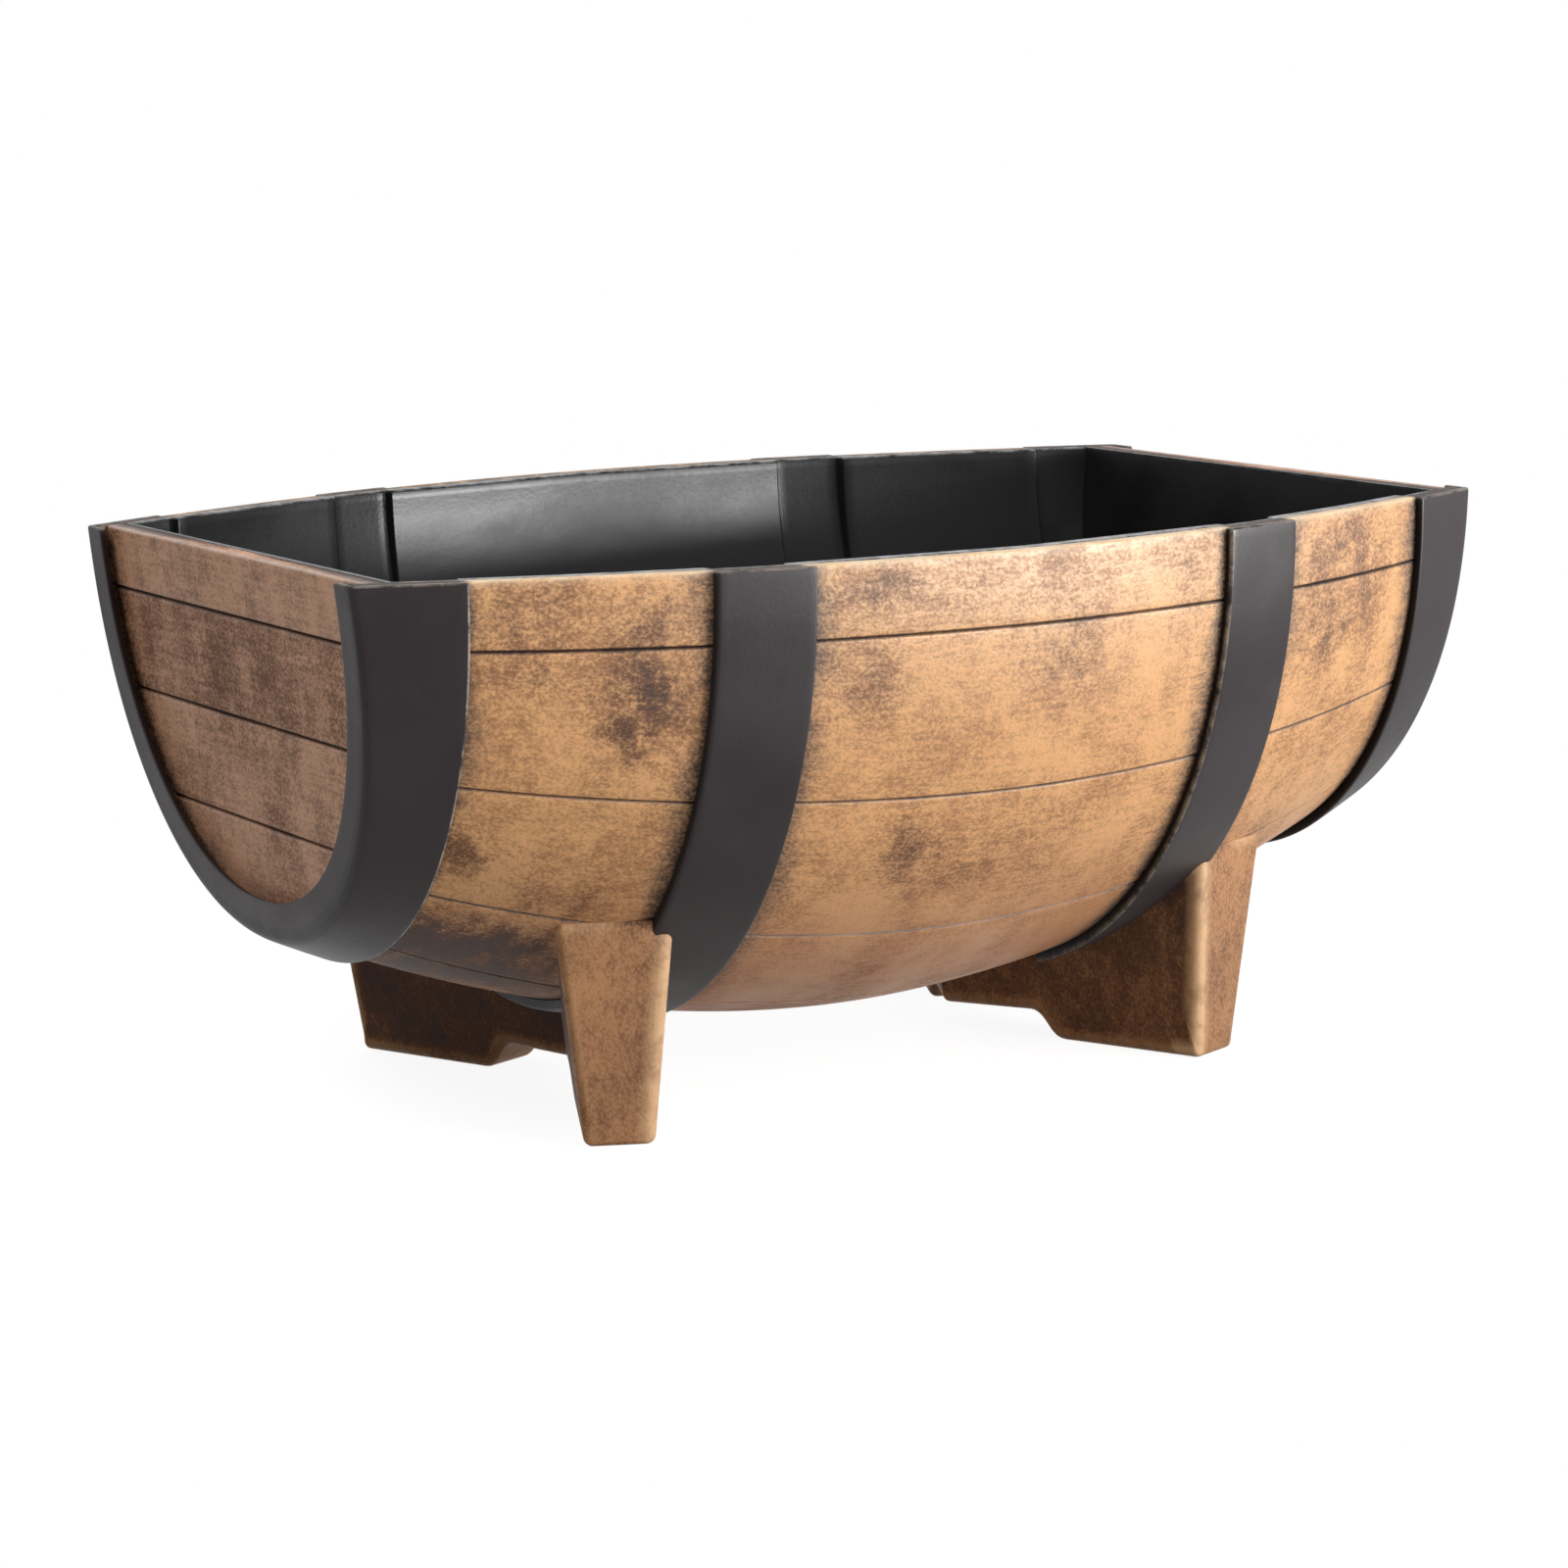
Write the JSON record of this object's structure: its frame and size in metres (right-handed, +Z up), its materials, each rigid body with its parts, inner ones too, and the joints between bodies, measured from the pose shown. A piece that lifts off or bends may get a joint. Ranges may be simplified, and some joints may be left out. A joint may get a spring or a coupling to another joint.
{
  "type": "barrel planter",
  "caption": "Half-barrel planter on its side: bent staves, board heads, half hoops and a moulded liner on splayed legs, open at the top for soil and plants.",
  "frame": {"origin": "on the floor under the middle of the planter", "axes": "+X along the length towards the right end, -Y towards the front, +Z up"},
  "size_m": [0.66, 0.522, 0.299],
  "materials": {
    "stave_wood": "golden brown paint rubbed over a dark ground, speckled, satin",
    "head_wood": "brown paint rubbed over a dark ground, cloudy, satin",
    "hoop_black": "charcoal satin paint",
    "liner_black": "black, soft sheen",
    "leg_wood": "brown paint rubbed over a dark ground, worn bright on the edges",
    "screw_steel": "zinc plated",
    "dowel_wood": "bare beech"
  },
  "bodies": {
    "root": {"front_rim_stave": "stave_wood", "front_upper_stave": "stave_wood", "front_middle_stave": "stave_wood", "front_lower_stave": "stave_wood", "front_keel_stave": "stave_wood", "rear_rim_stave": "stave_wood", "rear_upper_stave": "stave_wood", "rear_middle_stave": "stave_wood", "rear_lower_stave": "stave_wood", "rear_keel_stave": "stave_wood", "right_head_board_top": "head_wood", "right_head_board_upper": "head_wood", "right_head_board_lower": "head_wood", "right_head_board_bottom": "head_wood", "right_head_dowel_top_front": "dowel_wood", "right_head_dowel_top_rear": "dowel_wood", "right_head_dowel_upper_front": "dowel_wood", "right_head_dowel_upper_rear": "dowel_wood", "right_head_dowel_lower_front": "dowel_wood", "right_head_dowel_lower_rear": "dowel_wood", "right_middle_hoop": "hoop_black", "right_end_hoop": "hoop_black", "left_head_board_top": "head_wood", "left_head_board_upper": "head_wood", "left_head_board_lower": "head_wood", "left_head_board_bottom": "head_wood", "left_head_dowel_top_front": "dowel_wood", "left_head_dowel_top_rear": "dowel_wood", "left_head_dowel_upper_front": "dowel_wood", "left_head_dowel_upper_rear": "dowel_wood", "left_head_dowel_lower_front": "dowel_wood", "left_head_dowel_lower_rear": "dowel_wood", "left_middle_hoop": "hoop_black", "left_end_hoop": "hoop_black", "liner": "liner_black", "front_right_leg": "leg_wood", "front_right_leg_screw_outer": "screw_steel", "front_right_leg_screw_inner": "screw_steel", "front_right_middle_hoop_screw": "screw_steel", "front_right_end_hoop_screw": "screw_steel", "front_left_leg": "leg_wood", "front_left_leg_screw_outer": "screw_steel", "front_left_leg_screw_inner": "screw_steel", "front_left_middle_hoop_screw": "screw_steel", "front_left_end_hoop_screw": "screw_steel", "rear_right_leg": "leg_wood", "rear_right_leg_screw_outer": "screw_steel", "rear_right_leg_screw_inner": "screw_steel", "rear_right_middle_hoop_screw": "screw_steel", "rear_right_end_hoop_screw": "screw_steel", "rear_left_leg": "leg_wood", "rear_left_leg_screw_outer": "screw_steel", "rear_left_leg_screw_inner": "screw_steel", "rear_left_middle_hoop_screw": "screw_steel", "rear_left_end_hoop_screw": "screw_steel"}
  },
  "joints": []
}
